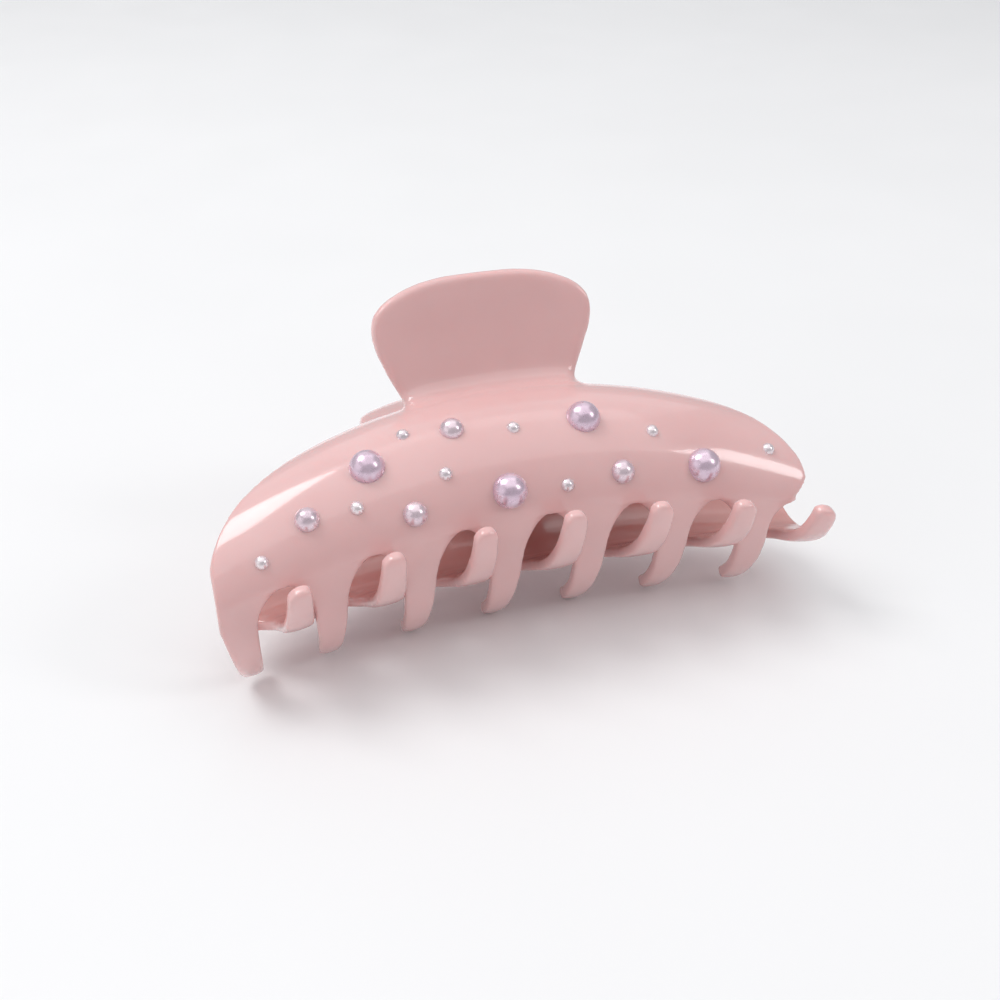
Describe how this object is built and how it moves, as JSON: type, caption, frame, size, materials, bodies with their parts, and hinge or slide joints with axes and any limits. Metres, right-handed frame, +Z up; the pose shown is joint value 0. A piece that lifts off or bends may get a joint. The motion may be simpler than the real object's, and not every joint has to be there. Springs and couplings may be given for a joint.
{
  "type": "claw clip",
  "caption": "Hinged hair claw clip: two curved toothed jaws with thumb tabs, a pin and a torsion spring, set with half-round pearls.",
  "frame": {"origin": "the middle of the bottom of the closed clip's box, on the surface that it lies on", "axes": "+X along the clip, -Y towards the front jaw and its teeth, +Z up; the clip lies turned back 58.7 degrees about X"},
  "size_m": [0.106, 0.0624, 0.0565],
  "materials": {
    "shell_plastic": "glossy pale pink acetate",
    "pearl": "lavender pearl lacquer",
    "steel": "nickel-plated wire"
  },
  "bodies": {
    "rear_half": {"rear_jaw": "shell_plastic", "hinge_pin": "steel", "torsion_spring": "steel", "rear_pearl_large_1": "pearl", "rear_pearl_large_2": "pearl", "rear_pearl_large_3": "pearl", "rear_pearl_large_4": "pearl", "rear_pearl_medium_1": "pearl", "rear_pearl_medium_2": "pearl", "rear_pearl_medium_3": "pearl", "rear_pearl_medium_4": "pearl", "rear_pearl_small_1": "pearl", "rear_pearl_small_2": "pearl", "rear_pearl_small_3": "pearl", "rear_pearl_small_4": "pearl", "rear_pearl_small_5": "pearl", "rear_pearl_small_6": "pearl", "rear_pearl_small_7": "pearl", "rear_pearl_small_8": "pearl"},
    "front_half": {"front_jaw": "shell_plastic", "front_pearl_large_1": "pearl", "front_pearl_large_2": "pearl", "front_pearl_large_3": "pearl", "front_pearl_large_4": "pearl", "front_pearl_medium_1": "pearl", "front_pearl_medium_2": "pearl", "front_pearl_medium_3": "pearl", "front_pearl_medium_4": "pearl", "front_pearl_small_1": "pearl", "front_pearl_small_2": "pearl", "front_pearl_small_3": "pearl", "front_pearl_small_4": "pearl", "front_pearl_small_5": "pearl", "front_pearl_small_6": "pearl", "front_pearl_small_7": "pearl", "front_pearl_small_8": "pearl"}
  },
  "joints": [
    {"name": "jaw_hinge", "type": "hinge", "parent": "rear_half", "child": "front_half", "pos_m": [0, 0.00393, 0.02949], "axis": [-1, 0, 0], "range_deg": [0, 70], "stiffness_Nm_per_rad": 0.25, "springref_deg": -40.11, "deforming": ["torsion_spring"]}
  ]
}
